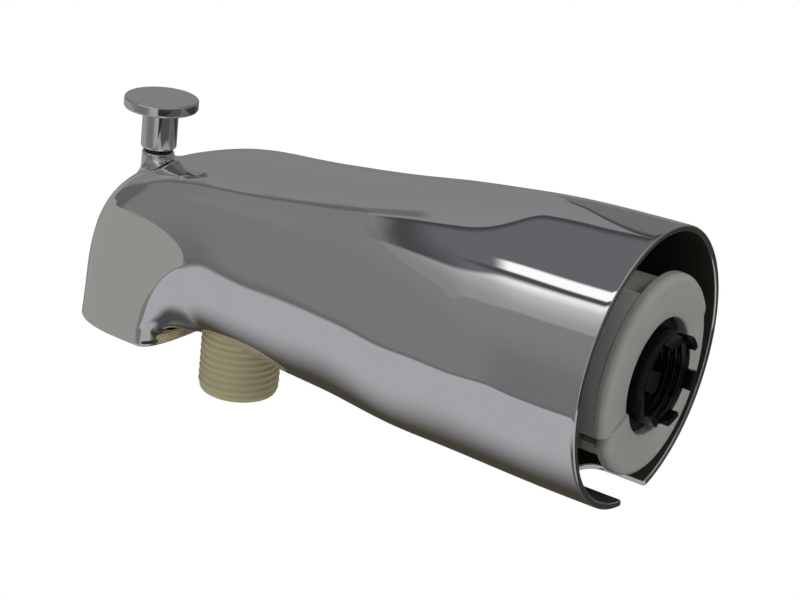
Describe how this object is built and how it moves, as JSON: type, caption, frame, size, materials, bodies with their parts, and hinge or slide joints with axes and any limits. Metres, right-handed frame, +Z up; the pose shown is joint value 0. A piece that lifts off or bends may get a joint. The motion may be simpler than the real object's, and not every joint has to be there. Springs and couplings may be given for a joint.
{
  "type": "bath spout",
  "caption": "Chromed bath spout with a pull-up diverter knob on its nose, a threaded hose outlet underneath and a threaded inlet at the wall.",
  "frame": {"origin": "centre of the shell's round rear rim, in the plane of the wall it seats on", "axes": "+Y out of the rear rim into the wall, the nose towards -Y, +Z up with the knob"},
  "size_m": [0.068, 0.1652, 0.0773],
  "materials": {
    "chrome_shell": "bright chrome plate over a moulded shell",
    "chrome_knob": "bright chrome plate over a casting",
    "cream_moulding": "satin cream moulding",
    "white_nylon": "satin natural nylon",
    "black_plastic": "satin black moulding",
    "black_rubber": "matt rubber",
    "grey_acetal": "smooth acetal",
    "steel": "turned stainless steel"
  },
  "bodies": {
    "housing": {"spout_shell": "chrome_shell", "waterway_body": "cream_moulding", "adapter_ring": "white_nylon", "adapter_seal_rear": "black_rubber", "adapter_seal_front": "black_rubber", "threaded_insert": "black_plastic", "inlet_washer": "black_rubber", "hose_outlet": "cream_moulding", "outlet_washer": "black_rubber", "port_plate": "grey_acetal", "port_plate_screws": "steel", "rod_seal": "black_rubber", "rod_gland": "grey_acetal", "rod_guide": "black_plastic"},
    "diverter": {"lift_rod": "steel", "diverter_knob": "chrome_knob", "diverter_gate": "grey_acetal", "gate_pad": "black_rubber"}
  },
  "joints": [
    {"name": "diverter_slide", "type": "slide", "parent": "housing", "child": "diverter", "axis": [0, 0, 1], "range_m": [0, 0.01]}
  ]
}
